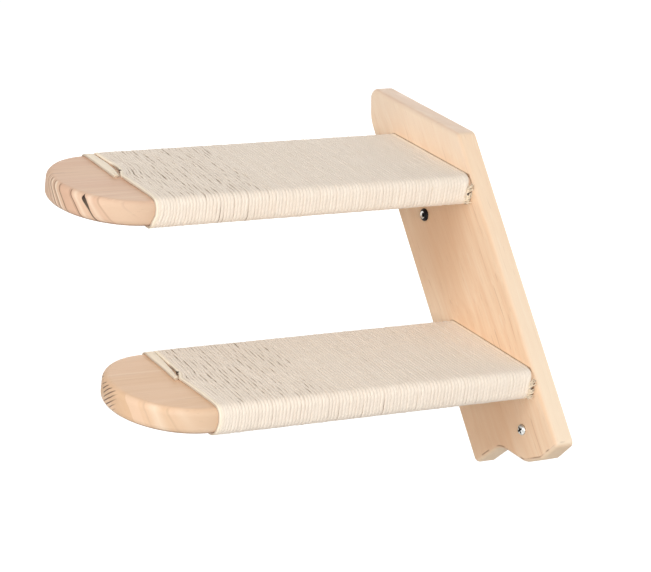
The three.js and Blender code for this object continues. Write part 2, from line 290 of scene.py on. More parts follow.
# %% Grain group
def group_of(name, inputs, results):
    """An empty node group: its wiring, what it is given and where its results go.

    An input's default is a number, a colour, or None for a place. Only the result Colour is a colour.
    """
    tree = bpy.data.node_groups.new(name, "ShaderNodeTree")
    kinds = {float: "NodeSocketFloat", tuple: "NodeSocketColor", type(None): "NodeSocketVector"}
    for label, default in inputs.items():
        socket = tree.interface.new_socket(label, in_out="INPUT", socket_type=kinds[type(default)])
        if default is not None:
            socket.default_value = default
    for label in results:
        kind = kinds[tuple if label == "Colour" else float]
        tree.interface.new_socket(label, in_out="OUTPUT", socket_type=kind)
    return Surface(tree), tree.nodes.new("NodeGroupInput").outputs, tree.nodes.new("NodeGroupOutput").inputs


grain, given, result = group_of("board_grain", {
    "Place": None, "End Grain": 0.0, "Year Width": 0.010, "First Year": 0.0, "Bend": 0.008, "Sway": 0.0,
    "Line Strength": 0.5, "Fibre Strength": 1.0, "Crack At": -1.0, "Pale": (0.85, 0.62, 0.44, 1),
    "Warm": (0.82, 0.55, 0.36, 1), "Line": (0.45, 0.22, 0.12, 1), "End": (0.95, 0.80, 0.66, 1),
    "End Share": 0.0}, ["Colour", "Roughness", "Height", "Ring"])

swept = grain.vector("MULTIPLY", given["Place"], (24, 24, 15))
sway = grain.add("ShaderNodeTexNoise", {"Vector": swept, "Scale": 1.0, "Detail": 1.0}).outputs["Color"]
sway = grain.vector("SUBTRACT", sway, (0.5, 0.5, 0.5))
sway = grain.add("ShaderNodeVectorMath", {0: sway, "Scale": given["Sway"]}, operation="SCALE").outputs[0]
place = grain.vector("ADD", given["Place"], sway)
parts = grain.parts(place)
flat = grain.add("ShaderNodeCombineXYZ", {0: parts[0], 1: parts[1]}).outputs[0]
from_middle = grain.vector("LENGTH", flat, output="Value")
slow = grain.noise(place, (16, 16, 3.2))
quick_bend = grain.noise(place, (90, 90, 9), 1.0)
bend = grain.plus(grain.less(slow, 0.5), grain.times(quick_bend, 0.10))
distance = grain.math("MULTIPLY_ADD", bend, given["Bend"], from_middle)
years = grain.math("DIVIDE", grain.less(distance, given["First Year"]), given["Year Width"])
year, season = grain.math("FLOOR", years), grain.math("FRACT", years)
print("grain: rings by distance from the log's middle")

# %% [markdown]
# Each year's own tint and the strength of its line come from random numbers for that year. Fine fibres and
# soft streaks are noise drawn out along the board. The years count more on end grain, where the saw cut
# across the fibres.

# %% Grain colours
line_strength = grain.spread(grain.chance(grain.plus(year, 71.3)), 0.0, 1.0, 0.35, 1.0, smooth=False)
across = grain.spread(given["End Grain"], 0.12, 0.7, 0.06, 1.0)
late = grain.times(grain.spread(season, 0.86, 0.975), grain.spread(season, 1.0, 0.985), line_strength,
                   across, given["Line Strength"])
fibre = grain.noise(place, (1500, 1500, 42), 3.0, 0.6)
streak = grain.noise(place, (150, 150, 5.5), 3.0, 0.6)
cloud = grain.noise(place, (28, 28, 7))
year_tint = grain.times(grain.less(grain.chance(year), 0.5), grain.spread(across, 0.2, 1.0, 0.15, 0.85))
streaked = grain.times(grain.less(streak, 0.5), given["Fibre Strength"], 1.4)
warmth = grain.plus(cloud, year_tint, streaked)
colour = grain.blend(grain.spread(warmth, 0.1, 0.95), given["Pale"], given["Warm"])
shade = grain.spread(fibre, 0.25, 0.75, 0.955, 1.03, smooth=False)
grey = grain.add("ShaderNodeCombineColor", {0: shade, 1: shade, 2: shade}).outputs[0]
colour = grain.blend(given["Fibre Strength"], colour, grain.blend(1.0, colour, grey, "MULTIPLY"))
colour = grain.blend(late, colour, given["Line"])
print("grain colours: years, lines and fibres")

# %% [markdown]
# Three rarer things make pine look like pine: fine pores, short dark resin lines and pale streaks that are a
# painted highlight, a gleam.
# Each is noise drawn out to thin lines along the board, of which only the highest peaks show.

# %% Pores, resin lines and painted gleams
lengthwise = grain.times(grain.spread(given["End Grain"], 0.5, 0.2), given["Fibre Strength"])
for scales, low, high, share, tone in (
        ((1100, 1100, 60), 0.74, 0.80, 0.3, given["Line"]),
        ((620, 620, 12), 0.735, 0.79, 0.5, given["Line"]),
        # The pale streaks below are a painted highlight.
        ((-540, 540, 10), 0.70, 0.77, 0.5, (0.97, 0.81, 0.63, 1))):
    peaks = grain.spread(grain.noise(place, scales, 0.0), low, high)
    colour = grain.blend(grain.times(peaks, lengthwise, share), colour, tone)
colour = grain.blend(grain.times(across, given["End Share"]), colour, given["End"])
print("with pores, resin lines and gleams:", len(grain.tree.nodes), "nodes so far")

# %% [markdown]
# One ring of the upper tread has come loose from the next and gapes a little on the nose. The crack follows
# the ring, widest near the upper face, and fades out on the long faces; its near-black colour is painted
# shade inside the gap. The log's second axis runs down the nose, so the crack's width depends on that part of
# the place.

# %% Crack along one ring
from_crack = grain.math("ABSOLUTE", grain.less(distance, given["Crack At"]))
opening = grain.times(grain.spread(parts[1], -0.1000, -0.0965, 0.20, 1.0),
                      grain.spread(parts[1], -0.0875, -0.0965, 0.0006, 0.0019))
gape = grain.less(1.0, grain.spread(grain.math("DIVIDE", from_crack, opening), 0.7, 1.0))
gape = grain.times(gape, grain.spread(given["End Grain"], 0.25, 0.6, 0.12, 1.0))
# The crack's near-black colour is painted shade inside the gap.
colour = grain.blend(gape, colour, (0.022, 0.009, 0.005, 1))
sunk = grain.plus(late, grain.times(gape, 4.0))
grain.give(result, {
    "Colour": colour, "Ring": distance, "Height": grain.times(grain.less(fibre, sunk), 0.5),
    "Roughness": grain.spread(streak, 0.3, 0.7, 0.50, 0.66, smooth=False)})
print("grain group has", len(grain.tree.nodes), "nodes")

# %% [markdown]
# ## Sizes
# The marks on the boards, the boards themselves and the cord all follow the same few sizes, in mm. A
# tread's middle is given across and up. Its flats are what its rounded edges leave of its section.

# %% Sizes of the boards
lean = np.radians(43.2)
plate_thick, plate_wide, plate_edge = 18, 123, 4
tread_thick, tread_wide, tread_long, tread_edge, nose_long = 22, 131, 375, 6, 60
step_middle = {"upper": (-95.80, 110.0), "lower": (32.24, -24.0)}
flat_across, flat_up = tread_wide / 2 - tread_edge, tread_thick / 2 - tread_edge
print("half flats of a tread's section:", flat_across, flat_up)

# %% [markdown]
# ## Wood materials
# A Mapping node carries an object's place into the log: its origin goes to the log's middle and its last
# axis along the grain. The plate's grain runs along its lean and the treads' grain along their length.
# On top of the grain come marks that only one board has. Each mark is a small function that takes the
# colour so far and gives a new one, so a material is its log plus a list of marks.

# %% Wood
def wood(name, log, turned, along, values, marks=(), bump=0.00012):
    """A wood material. log is the log's middle, and turned the angles that take up to the grain's way, along.

    A mark gets the wiring, what is known of the place, and the colour: at holds the place, its parts x and
    z, the normal, how it faces the front and along the grain, how much end grain it is, and its ring.
    """
    made, w = new_material(name)
    where = w.add("ShaderNodeTexCoord").outputs
    at = {"place": where["Object"], "normal": where["Normal"]}
    at["x"], _, at["z"] = w.parts(at["place"])
    at["front"] = w.toward(at["normal"], (0, -1, 0))
    at["facing"] = w.toward(at["normal"], along)
    at["end"] = w.math("ABSOLUTE", at["facing"])
    log_place = w.add("ShaderNodeMapping", {"Vector": at["place"], "Location": log, "Rotation": turned},
                      vector_type="TEXTURE").outputs[0]
    keys = {"Place": log_place, "End Grain": at["end"]}
    used = w.add("ShaderNodeGroup", keys | values, node_tree=grain.tree).outputs
    at["ring"] = used["Ring"]
    colour = used["Colour"]
    for mark in marks:
        colour = mark(w, at, colour)
    w.solid(colour, used["Roughness"], used["Height"], 0.6, bump, {"Specular IOR Level": 0.35})
    return made


def ring_marks(tone, *peaks, reach=0.2):
    """A mark: some rings stand out in a tone, each peak (mm from the log's middle, half width, strength)."""
    def mark(w, at, colour):
        ramp = w.add("ShaderNodeValToRGB", {0: w.math("DIVIDE", at["ring"], reach)})
        stops = ramp.color_ramp.elements
        stops[1].color = (0, 0, 0, 1)
        for middle, half, strength in peaks:
            for side in (-1, 0, 1):
                stops.new((middle + side * half) * MM / reach).color = (strength * (side == 0),) * 3 + (1,)
        there = w.times(ramp.outputs[0], w.spread(at["end"], 0.15, 0.6, 0.05, 1.0))
        return w.blend(there, colour, tone)
    return mark


print("wood: one function for all boards, marks as lists")

# %% [markdown]
# The plate's front is paler at the top, and below each tread it has a warm painted shade where light doesn't
# reach it. Its right side is paler downwards, and the rounding between the two is darkened as painted shade.
# At the low end the rim is patchy and dark and the face yellowish. A thin dark line of painted contact shadow
# shows where each wound tread meets the plate, at a distance from the tread's rounded section.

# %% Marks on the plate
def plate_tones_and_painted_shade(w, at, colour):
    """A paler side and top, two warm patches of painted shade below the treads and painted shade on the
    rounding, each blended in by place and facing.
    """
    side = w.toward(at["normal"], (np.cos(lean), 0, np.sin(lean)))
    # The right side only turns paler downwards.
    worn = w.times(w.spread(side, 0.5, 0.95), w.spread(at["z"], 0.12, -0.06, 0.45, 0.80))
    colour = w.blend(worn, colour, (0.93, 0.80, 0.63, 1))
    paler_top = w.times(w.spread(at["front"], 0.5, 0.95), w.spread(at["z"], 0.100, 0.150, 0, 0.6))
    colour = w.blend(paler_top, colour, (0.93, 0.80, 0.66, 1))
    # Each stain below a tread is a warm painted shade.
    for x, z in ((-0.070, 0.055), (0.050, -0.070)):
        off = w.vector("DISTANCE", at["place"], (x, -plate_thick * MM, z), output="Value")
        stain = w.times(w.spread(off, 0.080, 0.01, 0, 0.65), w.spread(at["front"], 0.3, 0.9))
        colour = w.blend(stain, colour, (0.74, 0.45, 0.265, 1))
    # The rounding between front and side is darkened as painted shade, which damps its highlight.
    rounding = w.math("MAXIMUM", w.less(w.plus(at["front"], side), 1.0), 0.0)
    return w.blend(w.times(rounding, 0.9), colour, (0.62, 0.42, 0.27, 1))


def sawn_end(w, at, colour):
    """A patchy dark line along the rim of the low end, and its face yellowish."""
    patchy = w.spread(w.noise(at["place"], 55), 0.46, 0.60)
    low = w.spread(at["z"], -0.055, -0.065, 0, 0.75)
    rim = w.times(w.between(at["end"], 0.10, 0.22, 0.34, 0.48), patchy, low)
    colour = w.blend(rim, colour, (0.25, 0.12, 0.06, 1))
    face = w.times(w.spread(at["end"], 0.4, 0.7), w.spread(at["z"], -0.05, -0.07, 0, 0.55))
    return w.blend(face, colour, (0.86, 0.67, 0.44, 1))


def cord_contact_shadows(w, at, colour):
    """A painted contact shadow where a cord meets the plate, by the distance from a rectangle of the tread's
    flats.
    """
    for x, z in step_middle.values():
        off = w.vector("ABSOLUTE", w.vector("SUBTRACT", at["place"], (x * MM, 0, z * MM)))
        off = w.vector("SUBTRACT", off, (flat_across * MM, 1.0, flat_up * MM))
        off = w.vector("LENGTH", w.vector("MAXIMUM", off, (0, 0, 0)), output="Value")
        # This dark line is a painted contact shadow.
        line = w.times(w.spread(off, 0.0093, 0.0084), w.spread(at["front"], 0.85, 0.97, 0, 0.7))
        colour = w.blend(line, colour, (0.22, 0.12, 0.06, 1))
    return colour


plate_wood = wood("plate_pine", (-0.020, 0.052, -0.01), (0, -lean, 0), (-np.sin(lean), 0, np.cos(lean)), {
    "Year Width": 0.0105, "First Year": 0.002, "Bend": 0.030, "Sway": 0.012, "Line Strength": 0.6,
    "Fibre Strength": 0.7, "Pale": (0.97, 0.735, 0.525, 1), "Warm": (0.86, 0.565, 0.355, 1),
    "Line": (0.50, 0.26, 0.13, 1), "End": (0.80, 0.62, 0.50, 1), "End Share": 0.75},
    [plate_tones_and_painted_shade, sawn_end, cord_contact_shadows])
print("plate wood:", plate_wood.name)

# %% [markdown]
# A tread's nose has a painted shade where it faces right, and its lower rounding ends in a dark line of
# painted shade. On the lower tread the saw tore short slanting splits. The upper tread has many dark rings,
# close together at the tip, and the one that cracked. The lower tread is calmer, with two faint rings and two
# broad pale ones.

# %% Marks on the treads
def nose_painted_shade(w, at, colour):
    """Painted shade where the nose faces right, and a line of painted shade where it turns under."""
    # Both marks on the nose are painted shade: the right side darker, and a dark line under the rounding.
    rightward = w.spread(w.toward(at["normal"], (1, 0, 0)), 0.35, 0.95, 0, 0.5)
    colour = w.blend(rightward, colour, (0.66, 0.49, 0.35, 1))
    under = w.between(w.toward(at["normal"], (0, 0, -1)), 0.5, 0.8, 0.97, 0.995)
    return w.blend(w.times(under, 0.6), colour, (0.25, 0.11, 0.06, 1))


def splits(w, at, colour, left_of=0.042, apart=0.0036):
    """Slanting lines a few mm apart on the nose's left part, wobbled by noise and broken by it."""
    rows = w.toward(at["place"], (-0.56 / apart, 0, 0.83 / apart))
    rows = w.math("MULTIPLY_ADD", w.noise(at["place"], 45), 0.6, rows)
    line = w.spread(w.math("ABSOLUTE", w.less(w.math("FRACT", rows), 0.5)), 0.20, 0.08)
    broken = w.spread(w.noise(at["place"], 36), 0.45, 0.52)
    there = w.times(line, broken, w.spread(at["facing"], -0.6, -0.85),
                    w.spread(at["x"], left_of, left_of - 0.012, 0, 0.9))
    return w.blend(there, colour, (0.11, 0.05, 0.035, 1))


def tread_wood(step, log_off, values, pale, dark, more=()):
    """A tread's wood. Its log's middle lies off the tread's middle by some mm across and up."""
    x, z = step_middle[step]
    standing_out = [ring_marks((0.97, 0.82, 0.66, 1), *pale), ring_marks((0.15, 0.055, 0.028, 1), *dark)]
    return wood(f"{step}_pine", ((x + log_off[0]) * MM, 0, (z + log_off[1]) * MM), (-np.pi / 2, 0, 0),
                (0, 1, 0), {"Fibre Strength": 0.35} | values, standing_out + [nose_painted_shade, *more])


upper_wood = tread_wood("upper", (-98, -90), {
    "Year Width": 0.0103, "First Year": 0.0095, "Bend": 0.003, "Sway": 0.002, "Line Strength": 0.35,
    "Crack At": 0.1648, "Pale": (0.80, 0.565, 0.405, 1), "Warm": (0.73, 0.475, 0.335, 1),
    "Line": (0.28, 0.105, 0.065, 1)},
    pale=[(129.9, 0.8, 0.9), (133.4, 0.9, 1.0), (138.6, 1.2, 1.0), (158.5, 2.2, 0.5), (168.5, 2.5, 0.5)],
    dark=[(126.4, 0.6, 0.8), (128.6, 0.5, 0.8), (131.5, 0.8, 1.0), (134.9, 0.5, 0.8), (136.9, 0.8, 1.0),
          (143.2, 0.8, 1.0), (154.6, 0.9, 1.0), (173.7, 0.5, 0.5)])
lower_wood = tread_wood("lower", (-10, -25), {
    "Year Width": 0.0092, "First Year": 0.0062, "Bend": 0.006, "Sway": 0.003, "Line Strength": 0.06,
    "Pale": (0.85, 0.60, 0.42, 1), "Warm": (0.77, 0.515, 0.325, 1), "Line": (0.32, 0.15, 0.09, 1)},
    pale=[(62.5, 5.0, 0.6), (76.0, 3.5, 0.5)], dark=[(56.0, 0.7, 0.22), (69.5, 0.7, 0.18)], more=[splits])
dowel_wood = wood("dowel_beech", (0.02, 0, 0.01), (-np.pi / 2, 0, 0), (0, 1, 0), {
    "Year Width": 0.002, "Bend": 0.002, "Line Strength": 0.35, "Pale": (0.68, 0.43, 0.25, 1),
    "Warm": (0.60, 0.36, 0.20, 1), "Line": (0.40, 0.20, 0.10, 1)}, bump=0.00006)
print("woods:", [m.name for m in (plate_wood, upper_wood, lower_wood, dowel_wood)])

# %% [markdown]
# ## Sisal
# The cord is made of pale, stiff leaf fibres spun together. Its pattern has to follow the cord, so it reads
# the cord's own map: how far along in metres, and how far round as a share of the whole way. The round part
# goes onto a circle first, which hides the seam. Three plies twist along, with a groove between them that is
# darkened as painted shade, and fine fibres run nearly lengthwise over everything. Two numbers come with the
# cord's own points: a painted shade on the sides of the cord that face a gap between turns, and how open the
# yarn is, which makes it paler and creamier and is partly a painted highlight.

# %% Sisal group
sisal, given, result = group_of("sisal_lay", {
    "Along": 0.0, "Round": 0.0, "Lay": 0.011, "Pale": (0.9, 0.8, 0.68, 1), "Deep": (0.8, 0.69, 0.56, 1),
    "Fleck": (0.50, 0.40, 0.31, 1), "Groove": 0.14, "Deepness": 0.0, "Openness": 0.0},
    ["Colour", "Roughness", "Height"])
twist = sisal.plus(given["Round"], sisal.math("DIVIDE", given["Along"], given["Lay"]))
ply = sisal.math("ABSOLUTE", sisal.math("SINE", sisal.times(twist, 3 * np.pi)))
angle = sisal.times(sisal.plus(given["Round"], sisal.times(given["Along"], 12.0)), 2 * np.pi)
circle = sisal.add("ShaderNodeCombineXYZ", {
    0: given["Along"], 1: sisal.math("COSINE", angle), 2: sisal.math("SINE", angle)}).outputs[0]
hair = sisal.noise(circle, (260, 5.5, 5.5), 3.0, 0.65)
tuft = sisal.noise(circle, (70, 1.2, 1.2))
drift = sisal.noise(circle, (5.0, 0.0, 0.0), 3.0)
fleck = sisal.noise(circle, (120, 3.0, 3.0), 1.0)
depth = sisal.plus(sisal.times(hair, 0.9), sisal.times(tuft, 0.5), sisal.times(drift, 0.8))
# The groove between the plies is darkened: painted shade.
groove_shade = sisal.times(sisal.spread(ply, 0.0, 0.45, 1.0, 0.0), given["Groove"])
colour = sisal.blend(sisal.spread(depth, 0.78, 1.42), given["Deep"], given["Pale"])
colour = sisal.blend(groove_shade, colour, given["Fleck"])
colour = sisal.blend(sisal.times(sisal.spread(fleck, 0.68, 0.78), 0.35), colour, given["Fleck"])
# Open yarn turns paler and creamier: partly its own colour, partly a painted highlight.
colour = sisal.blend(given["Openness"], colour, (1.0, 0.885, 0.72, 1))
sisal.give(result, {
    # The first number darkens the sides of the cord that face a gap between turns: painted shade.
    "Colour": sisal.blend(given["Deepness"], colour, given["Fleck"]),
    "Height": sisal.plus(sisal.times(ply, 0.7), sisal.times(hair, 0.6)),
    "Roughness": sisal.spread(hair, 0.3, 0.7, 0.78, 0.95, smooth=False)})
print("sisal group has", len(sisal.tree.nodes), "nodes")

# %% [markdown]
# The wound cord and its loose fibres use the same group. The fibres are painted creamier and brighter, a
# painted light that stands in for light passing through single ones.

# %% Sisal materials
def sisal_cord(name, pale, deep, bump):
    """A sisal material that reads the piece's cord_way map and its two numbers: a painted gap shade, and
    openness that is partly a painted highlight.
    """
    made, w = new_material(name)
    way = w.parts(w.add("ShaderNodeUVMap", uv_map="cord_way").outputs[0])
    keys = {"Along": way[0], "Round": way[1], "Pale": pale, "Deep": deep}
    for number in ("Deepness", "Openness"):
        keys[number] = w.add("ShaderNodeAttribute", attribute_name=number.lower()).outputs["Fac"]
    used = w.add("ShaderNodeGroup", keys, node_tree=sisal.tree).outputs
    w.solid(used["Colour"], used["Roughness"], used["Height"], 0.8, bump,
            {"Specular IOR Level": 0.2, "Sheen Weight": 0.12, "Sheen Roughness": 0.5})
    return made


cord_sisal = sisal_cord("cord_sisal", (0.935, 0.84, 0.735, 1), (0.885, 0.775, 0.665, 1), 0.00012)
brightened_fibre_sisal = sisal_cord("brightened_fibre_sisal", (0.99, 0.91, 0.76, 1), (0.92, 0.81, 0.62, 1), 0.00004)
print("sisals:", cord_sisal.name, brightened_fibre_sisal.name)

# %% [markdown]
# ## Steel
# The screws are zinc plated or blackened, and the tacks are dark iron. All are a metal shader with faint
# scuffs and stains, so one function makes them from two colours and a range of roughness. A number stored in
# each screw's points marks its recess and rim: there the black has worn to bare steel, and the zinc's recess
# is darkened as painted shade.

# %% Steel
def steel(name, clean, worn, roughness, metal, wear_and_shade_colour, wear_and_shade_metal):
    """Metal from clean to worn, with a colour and a metal share of its own where a screw's points are marked:
    tool wear on black, painted recess shade on zinc.
    """
    made, w = new_material(name)
    place = w.add("ShaderNodeTexCoord").outputs["Object"]
    stain = w.spread(w.noise(place, 420, 3.0), 0.35, 0.7)
    scuff = w.noise(w.vector("MULTIPLY", place, (1, 1, 6)), 900)
    wear_and_shade_mask = w.add("ShaderNodeAttribute", attribute_name="tool_wear_and_recess_shade").outputs["Fac"]
    # Where marked, the black screw shows bare steel and the zinc's recess a dark painted shade.
    colour = w.blend(wear_and_shade_mask, w.blend(stain, clean, worn), wear_and_shade_colour)
    w.solid(colour, w.spread(scuff, 0.3, 0.7, *roughness), scuff, 0.25, 0.00003,
            {"Metallic": w.spread(wear_and_shade_mask, 0, 1, metal, wear_and_shade_metal), "Specular IOR Level": 0.12})
    return made


zinc = steel("zinc_steel", (0.66, 0.66, 0.64, 1), (0.48, 0.49, 0.46, 1), (0.24, 0.38), 1.0,
             (0.03, 0.028, 0.024, 1), 0.4)
black = steel("black_steel", (0.006, 0.005, 0.006, 1), (0.014, 0.012, 0.012, 1), (0.32, 0.46), 0.0,
              (0.80, 0.79, 0.76, 1), 1.0)
iron = steel("dark_iron", (0.030, 0.018, 0.012, 1), (0.05, 0.032, 0.02, 1), (0.55, 0.75), 0.0,
             (0.05, 0.03, 0.02, 1), 0.0)
print("steels:", zinc.name, black.name, iron.name)

# %% [markdown]
# ## From arrays to pieces
# New pieces are grids of points worked out with numpy. A closed grid joins its last column to its first,
# and a flat face on its first and last row makes it a tube. All of a mesh is set in a few calls. A mesh
# whose volume comes out below zero has its faces turned inwards, so it is turned round at once.

# %% Mesh helpers
def xyz(x, y, z):
    """Points from their three coordinates, each repeated to the shape of all three."""
    return np.stack(np.broadcast_arrays(x, y, z), -1)


def grid_faces(rows, columns, closed):
    """The corner numbers of a grid's four-sided faces; closed joins the last column to the first."""
    i, j = np.meshgrid(np.arange(rows - 1), np.arange(columns if closed else columns - 1), indexing="ij")
    after = (j + 1) % columns
    corners = [i * columns + j, i * columns + after, (i + 1) * columns + after, (i + 1) * columns + j]
    return np.stack(corners, -1).reshape(-1, 4)


def tube_faces(rows, columns):
    """A closed grid's four-sided faces, and the two flat faces on its first and last row."""
    ring = np.arange(columns)
    return [grid_faces(rows, columns, True), np.array([ring[::-1], ring + (rows - 1) * columns])]


def volume_of(mesh):
    """The volume in cm3, from the signed pyramids between the origin and each triangle."""
    mesh.calc_loop_triangles()
    corners = np.empty(len(mesh.loop_triangles) * 3, np.int32)
    mesh.loop_triangles.foreach_get("vertices", corners)
    places = np.empty(len(mesh.vertices) * 3, np.float32)
    mesh.vertices.foreach_get("co", places)
    a, b, c = places.reshape(-1, 3).astype(float)[corners.reshape(-1, 3)].transpose(1, 0, 2)
    return float(np.einsum("ij,ij->i", a, np.cross(b, c)).sum() / 6 * 1e6)


def shade(mesh, smooth_below):
    """Smooth shading, apart from edges where the faces turn by more than an angle in degrees."""
    mesh.shade_smooth()
    mesh.set_sharp_from_angle(angle=np.radians(smooth_below))


def add_piece(name, points, faces, material, smooth_below=35):
    """A piece from points in mm and a list of face arrays, on the one body and with its material."""
    mesh = bpy.data.meshes.new(name)
    corners = [face for block in faces for face in np.asarray(block).tolist()]
    mesh.from_pydata(points.reshape(-1, 3) * MM, [], corners)
    mesh.update()
    shade(mesh, smooth_below)
    if volume_of(mesh) < 0:
        mesh.flip_normals()
    mesh.materials.append(material)
    piece = add_object(name, mesh)
    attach(piece, "root")
    return piece


print("mesh helpers: grids, tubes, volume, pieces")

# %% [markdown]
# ## Holes
# Holes are cut with one object that holds all of a board's cutters, each a profile turned about an axis
# along Y. A profile is a list of (radius, y) in mm that runs a little past the face it starts from. The
# result is kept as a plain mesh and the cutter is thrown away.

# %% Turned cutters
def turned_grid(profile, place, sides=32):
    """Rings of points: each (radius, y) of the profile turned about the Y axis through place (x, z)."""
    radius, along = np.array(profile, float).T
    angle = np.arange(sides) * 2 * np.pi / sides
    x = place[0] + radius[:, None] * np.cos(angle)
    z = place[1] - radius[:, None] * np.sin(angle)
    return xyz(x, along[:, None], z)


def drill(piece, holes):
    """Cuts all holes, each a (profile, place) pair, out of a piece."""
    points, faces, count = [], [], 0
    for profile, place in holes:
        cutter = turned_grid(profile, place)
        for block in tube_faces(*cutter.shape[:2]):
            faces += (block + count).tolist()
        points.append(cutter.reshape(-1, 3))
        count += len(points[-1])
    mesh = bpy.data.meshes.new("cutters")
    mesh.from_pydata(np.concatenate(points) * MM, [], faces)
    mesh.materials.append(piece.data.materials[0])
    tool = add_object("cutters", mesh)
    cut = piece.modifiers.new("holes", "BOOLEAN")
    cut.operation, cut.object, cut.solver = "DIFFERENCE", tool, "EXACT"
    done = bpy.data.meshes.new_from_object(piece.evaluated_get(bpy.context.evaluated_depsgraph_get()))
    piece.modifiers.clear()
    old, piece.data = piece.data, done
    done.name = piece.name
    bpy.data.objects.remove(tool)
    for spent in (old, mesh):
        bpy.data.meshes.remove(spent)
    shade(done, 35)


step_screw_hole = [(0.3, -60.3), (2.55, -54.3), (2.55, -2.55), (4.8, 0.0), (4.8, 5.0)]
dowel_hole = [(3.5, -44.8), (4.3, -44.0), (4.3, -7.0), (3.5, -6.2)]
wall_hole = [(2.8, -23.0), (2.8, 5.0)]
step_screw_shifts, dowel_shifts = (-45, 0, 45), (-22.5, 22.5)
wall_screws = {"upper": (-92.96, 67), "lower": (92.96, -67)}


def step_holes(step):
    """The holes of a tread's three screws and two dowels."""
    x, z = step_middle[step]
    screws = [(step_screw_hole, (x + shift, z)) for shift in step_screw_shifts]
    return screws + [(dowel_hole, (x + shift, z)) for shift in dowel_shifts]


print("holes for each tread:", len(step_holes("upper")))

# %% [markdown]
# ## The plate
# The plate is one board cut to a leaning outline. Its corners are arcs, so the outline is made like a
# draughtsman's: each corner is rounded by its own radius. The same outline, moved in step by step while it
# moves forward, makes the round front edge. The back edge stays crisp, because it lies on the wall.

# %% Plate outline
def rounded_outline(corners, steps=14):
    """Points and outward normals of a closed outline whose corners (x, z, radius) are each an arc.

    An arc's centre lies on the line that halves its corner. Its arm to the start is turned step by step.
    """
    corners = np.array(corners, float)
    at, radius = corners[:, :2], corners[:, 2:]
    back, ahead = np.roll(at, 1, 0) - at, np.roll(at, -1, 0) - at
    back /= np.linalg.norm(back, axis=1, keepdims=True)
    ahead /= np.linalg.norm(ahead, axis=1, keepdims=True)
    half = np.arccos((back * ahead).sum(1, keepdims=True)) / 2
    bisector = (back + ahead) / np.linalg.norm(back + ahead, axis=1, keepdims=True)
    centre = at + bisector * radius / np.sin(half)
    start = back * radius / np.tan(half) + at - centre
    turning = np.sign(back[:, 1] * ahead[:, 0] - back[:, 0] * ahead[:, 1])[:, None]
    sweep = (np.pi - 2 * half) * np.linspace(0, 1, steps) * turning
    crossed = np.stack([-start[:, 1], start[:, 0]], -1)
    arm = start[:, None] * np.cos(sweep)[..., None] + crossed[:, None] * np.sin(sweep)[..., None]
    normals = arm / radius[:, None] * turning[:, None]
    return (centre[:, None] + arm).reshape(-1, 2), normals.reshape(-1, 2)


def plate_x(z, side):
    """Where the plate's left (-1) or right (1) side is at a height."""
    return -np.tan(lean) * z + side * plate_wide / 2 / np.cos(lean)


top, sole = step_middle["upper"][1] + 43.5, step_middle["lower"][1] - 70.5
foot, cheek, toe = sole - 29.5, top - 30.5, sole + 32
tip_x = plate_x(toe, 1) - 18.5
outline, outward = rounded_outline([
    (plate_x(cheek, -1) - 6.5, top, 9), (plate_x(cheek, -1), cheek, 30), (plate_x(foot, -1), foot, 5),
    (plate_x(foot, -1) + 29.5 / np.tan(lean), sole, 30), (tip_x - 23, sole, 22), (tip_x, toe - 20, 8),
    (plate_x(toe, 1), toe, 5), (plate_x(top, 1), top, 9)])
print("plate outline:", len(outline), "points, size in mm:", np.ptp(outline, axis=0).round(1))

# %% [markdown]
# The edge's profile is a quarter circle. A last narrow ring lies flat on the front face, so that the big
# flat face beside it is shaded flat.

# %% Plate piece
flat_ring = 0.4
edge = np.linspace(0, np.pi / 2, 9)
inset = np.concatenate([[0], plate_edge - plate_edge * np.cos(edge), [plate_edge + flat_ring]])
depth_y = np.concatenate([[0], plate_edge - plate_thick - plate_edge * np.sin(edge), [-plate_thick]])
loops = outline[None] - outward[None] * inset[:, None, None]
points = xyz(loops[..., 0], depth_y[:, None], loops[..., 1])
plate = add_piece("plate", points, tube_faces(*points.shape[:2]), plate_wood)
wall_holes = [(wall_hole, place) for place in wall_screws.values()]
drill(plate, step_holes("upper") + step_holes("lower") + wall_holes)
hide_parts("back_plate")
print("plate:", len(plate.data.polygons), "faces,", round(volume_of(plate.data), 1), "cm3")

# %% [markdown]
# ## The treads
# A tread is a straight board with a half-ellipse nose. The same way works: the outline goes out along one
# side, round the nose and back, and its profile goes over the rounded top edge, down the side and under.

# %% Treads
nose_start = nose_long - plate_thick - tread_long


